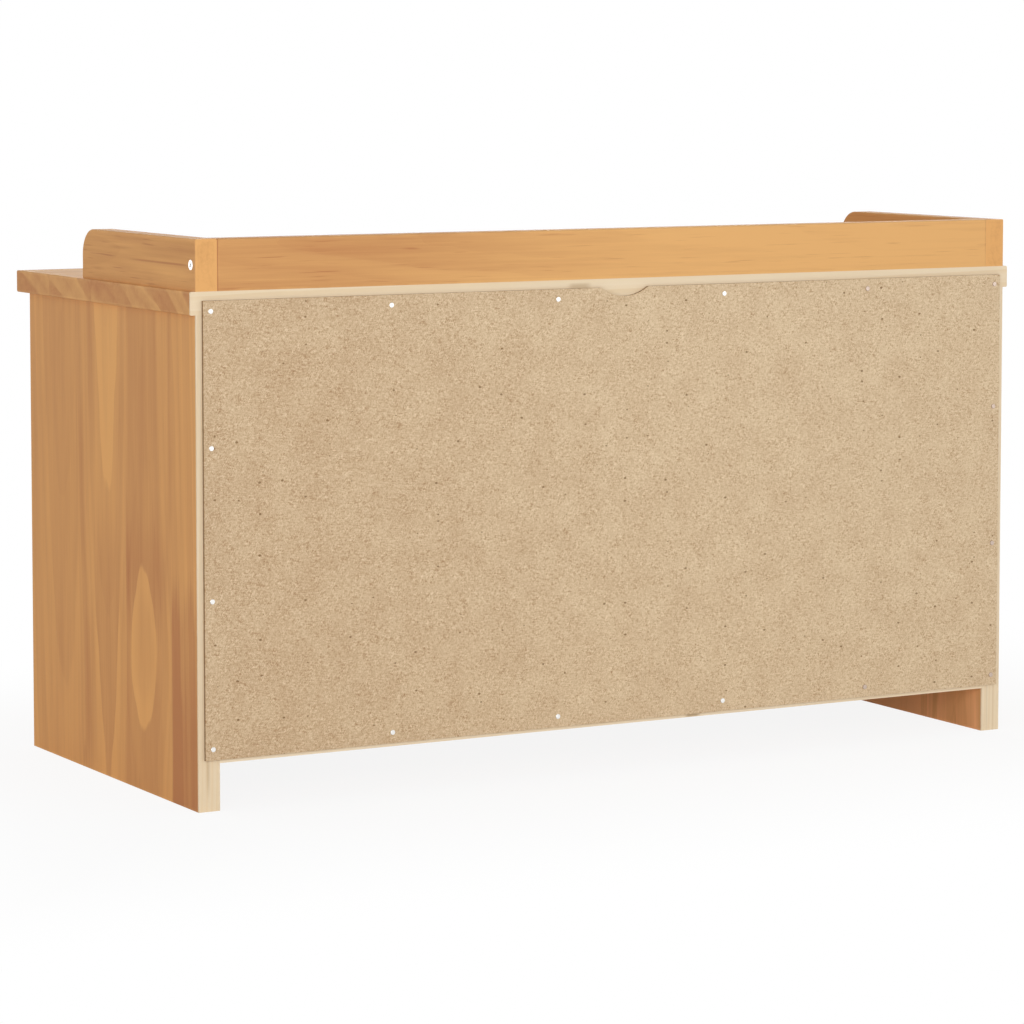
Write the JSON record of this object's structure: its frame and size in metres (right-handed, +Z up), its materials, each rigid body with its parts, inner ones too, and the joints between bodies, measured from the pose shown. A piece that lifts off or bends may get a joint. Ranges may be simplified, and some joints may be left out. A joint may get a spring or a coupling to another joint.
{
  "type": "hall bench",
  "caption": "Low pine hall bench: a cabinet with inset hinged doors and a loose shelf under a flat seat, with a low gallery round the back of the seat.",
  "frame": {"origin": "on the floor, midway across the bench and midway between the knobs' fronts and the nail heads behind", "axes": "+Z up, front and doors facing -Y, +X to the right as seen from the front"},
  "size_m": [0.765, 0.3618, 0.44],
  "materials": {
    "pine_side": "stained pine, satin lacquer",
    "pine_seat": "stained pine, satin lacquer",
    "pine_bottom": "stained pine, satin lacquer",
    "pine_gallery_side": "stained pine, satin lacquer",
    "pine_gallery_back": "stained pine, satin lacquer",
    "pine_stile": "stained pine, satin lacquer",
    "pine_rail": "stained pine, satin lacquer",
    "pine_panel": "stained pine, satin lacquer",
    "pine_knob": "stained pine, satin lacquer",
    "hardboard": "bare beige hardboard",
    "beech_dowel": "bare beech",
    "zinc_steel": "bright zinc plate",
    "cam_zinc": "die-cast zinc",
    "hinge_brass": "plain brass",
    "catch_plastic": "brown plastic",
    "magnet": "dark ferrite"
  },
  "bodies": {
    "carcass": {"left_side_panel": "pine_side", "right_side_panel": "pine_side", "seat_board": "pine_seat", "bottom_board": "pine_bottom", "back_panel": "hardboard", "back_panel_nails": "zinc_steel", "left_gallery_side": "pine_gallery_side", "right_gallery_side": "pine_gallery_side", "gallery_back": "pine_gallery_back", "gallery_corner_screws": "zinc_steel", "gallery_seat_screws": "zinc_steel", "gallery_dowels": "beech_dowel", "seat_dowels": "beech_dowel", "seat_cam_bolts": "zinc_steel", "seat_cam_locks": "cam_zinc", "bottom_dowels": "beech_dowel", "bottom_cam_bolts": "zinc_steel", "bottom_cam_locks": "cam_zinc", "shelf": "pine_bottom", "shelf_pins": "zinc_steel", "catch_housings": "catch_plastic", "catch_magnets": "magnet", "catch_screws": "zinc_steel", "left_hinge_frame_leaves": "hinge_brass", "left_hinge_pins": "hinge_brass", "left_hinge_frame_screws": "hinge_brass", "right_hinge_frame_leaves": "hinge_brass", "right_hinge_pins": "hinge_brass", "right_hinge_frame_screws": "hinge_brass"},
    "left_door": {"left_door_hinge_stile": "pine_stile", "left_door_meeting_stile": "pine_stile", "left_door_top_rail": "pine_rail", "left_door_bottom_rail": "pine_rail", "left_door_panel": "pine_panel", "left_door_hinge_leaves": "hinge_brass", "left_door_hinge_screws": "hinge_brass", "left_door_knob": "pine_knob", "left_door_knob_screw": "zinc_steel", "left_door_strike_plate": "zinc_steel", "left_door_strike_screw": "zinc_steel"},
    "right_door": {"right_door_hinge_stile": "pine_stile", "right_door_meeting_stile": "pine_stile", "right_door_top_rail": "pine_rail", "right_door_bottom_rail": "pine_rail", "right_door_panel": "pine_panel", "right_door_hinge_leaves": "hinge_brass", "right_door_hinge_screws": "hinge_brass", "right_door_knob": "pine_knob", "right_door_knob_screw": "zinc_steel", "right_door_strike_plate": "zinc_steel", "right_door_strike_screw": "zinc_steel"}
  },
  "joints": [
    {"name": "left_door_swing", "type": "hinge", "parent": "carcass", "child": "left_door", "pos_m": [-0.359, -0.1587, 0.2185], "axis": [0, 0, -1], "range_deg": [0, 175]},
    {"name": "right_door_swing", "type": "hinge", "parent": "carcass", "child": "right_door", "pos_m": [0.359, -0.1587, 0.2185], "axis": [0, 0, 1], "range_deg": [0, 175]}
  ]
}
